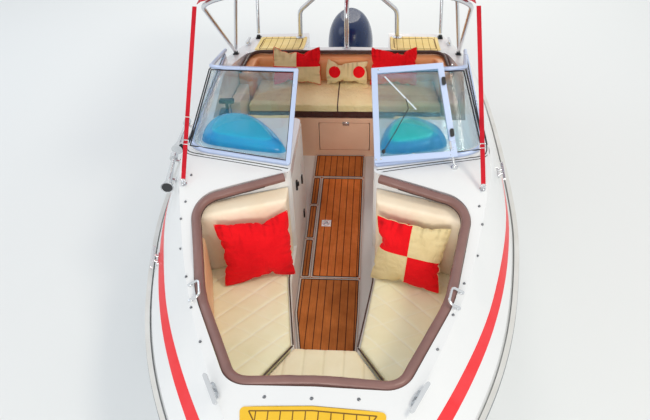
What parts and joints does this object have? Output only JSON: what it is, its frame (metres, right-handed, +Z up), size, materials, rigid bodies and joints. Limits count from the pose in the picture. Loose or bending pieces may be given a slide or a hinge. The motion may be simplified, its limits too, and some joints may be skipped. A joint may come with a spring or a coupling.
{
  "type": "speedboat",
  "caption": "Open-bow speedboat with walk-through windshield, canopy, cushioned seats, hatches, tow arch and a tilting, steering outboard.",
  "frame": {"origin": "on the waterline, on the centreline, at midship", "axes": "+Y along the boat towards the stern, +X to port, +Z up; the bow points towards -Y"},
  "size_m": [2.3076, 5.301, 2.6815],
  "materials": {
    "gelcoat": "gloss",
    "nonskid": "matte",
    "rub_rail": "satin",
    "teak": "oiled",
    "pad_yellow": "ribbed",
    "turquoise": "gloss",
    "cream_vinyl": "stitched",
    "peach_vinyl": "stitched",
    "mauve_vinyl": "padded",
    "dark_vinyl": "piped",
    "canvas": "woven",
    "webbing": "woven",
    "pillow_red": "patchwork",
    "stainless": "polished",
    "alloy": "satin",
    "window_frame": "powder coated",
    "tinted_glass": "tinted",
    "black": "satin",
    "navy_cowl": "gloss",
    "motor_grey": "satin",
    "panel": "satin"
  },
  "bodies": {
    "boat": {"aft_deck_pads": "pad_yellow", "bench_arms": "cream_vinyl", "bench_backrest": "peach_vinyl", "bench_base": "gelcoat", "bench_cushions": "peach_vinyl", "bench_pillows": "pillow_red", "bench_trim": "dark_vinyl", "bow_backrests": "cream_vinyl", "bow_bolster": "mauve_vinyl", "bow_centre_cushion": "cream_vinyl", "bow_pillows": "pillow_red", "bow_side_cushions": "cream_vinyl", "bow_side_pads": "cream_vinyl", "canopy": "canvas", "canopy_aft_bow": "stainless", "canopy_feet": "black", "canopy_front_bow": "stainless", "canopy_main_bow": "stainless", "canopy_straps": "webbing", "clamp_bracket": "motor_grey", "cleats": "stainless", "consoles": "gelcoat", "dash_hoods": "turquoise", "deck": "gelcoat", "floor_boards": "teak", "grab_handles": "stainless", "helm_mount": "black", "horns": "stainless", "hull": "gelcoat", "instrument_panel": "panel", "ladder_hinges": "stainless", "liner": "gelcoat", "motor_well": "gelcoat", "rub_rail": "rub_rail", "seat_cushions": "cream_vinyl", "seat_pedestals": "alloy", "strap_eyes": "stainless", "swim_platforms": "nonskid", "throttle": "black", "tow_arch": "stainless", "windshield_frame": "window_frame", "windshield_glass": "tinted_glass"},
    "floor_hatch": {"floor_hatch": "teak", "hatch_ring": "stainless"},
    "console_door": {"console_door": "gelcoat", "door_latches": "black"},
    "steering_wheel": {"steering_wheel": "black"},
    "bench_door": {"bench_door": "gelcoat"},
    "window_door": {"window_door": "window_frame", "window_door_glass": "tinted_glass", "window_catches": "black"},
    "anchor_lid": {"anchor_lid": "pad_yellow"},
    "boarding_ladder": {"boarding_ladder": "stainless"},
    "swivel": {"swivel_bracket": "motor_grey"},
    "motor": {"motor_leg": "motor_grey", "motor_cowl": "navy_cowl"},
    "propeller": {"propeller": "alloy"}
  },
  "joints": [
    {"name": "floor_hatch_hinge", "type": "hinge", "parent": "boat", "child": "floor_hatch", "pos_m": [0.165, 0.2, 0.12], "axis": [0, 1, 0], "range_deg": [0, 85]},
    {"name": "console_door_hinge", "type": "hinge", "parent": "boat", "child": "console_door", "pos_m": [-0.24, -0.24, 0.46], "axis": [0, 0, -1], "range_deg": [0, 95]},
    {"name": "bench_door_hinge", "type": "hinge", "parent": "boat", "child": "bench_door", "pos_m": [0, 1.05, 0.17], "axis": [1, 0, 0], "range_deg": [0, 85]},
    {"name": "window_door_hinge", "type": "hinge", "parent": "boat", "child": "window_door", "pos_m": [0.24, -0.31014, 1.04506], "axis": [0.0538, -0.7359, -0.6749], "range_deg": [0, 184]},
    {"name": "anchor_lid_hinge", "type": "hinge", "parent": "boat", "child": "anchor_lid", "pos_m": [0, -1.7725, 0.866], "axis": [-1, 0, 0], "range_deg": [0, 95]},
    {"name": "ladder_hinge", "type": "hinge", "parent": "boat", "child": "boarding_ladder", "pos_m": [0.6, 2.47, 0.27], "axis": [-1, 0, 0], "range_deg": [0, 268]},
    {"name": "outboard_tilt", "type": "hinge", "parent": "boat", "child": "swivel", "pos_m": [0, 2.125, 0.21], "axis": [1, 0, 0], "range_deg": [0, 60]},
    {"name": "outboard_steer", "type": "hinge", "parent": "swivel", "child": "motor", "pos_m": [0, 2.195, 0.05], "axis": [0, 0, 1], "range_deg": [-30, 30]},
    {"name": "propeller_spin", "type": "hinge", "parent": "motor", "child": "propeller", "pos_m": [0, 2.562, -0.59], "axis": [0, 1, 0], "continuous": true},
    {"name": "steering_wheel_turn", "type": "hinge", "parent": "boat", "child": "steering_wheel", "pos_m": [-0.54, 0.373, 0.69], "axis": [0, -0.8829, -0.4695], "range_deg": [-540, 540]}
  ],
  "couplings": [
    {"joint": "steering_wheel_turn", "follows": "outboard_steer", "ratio": 18}
  ]
}
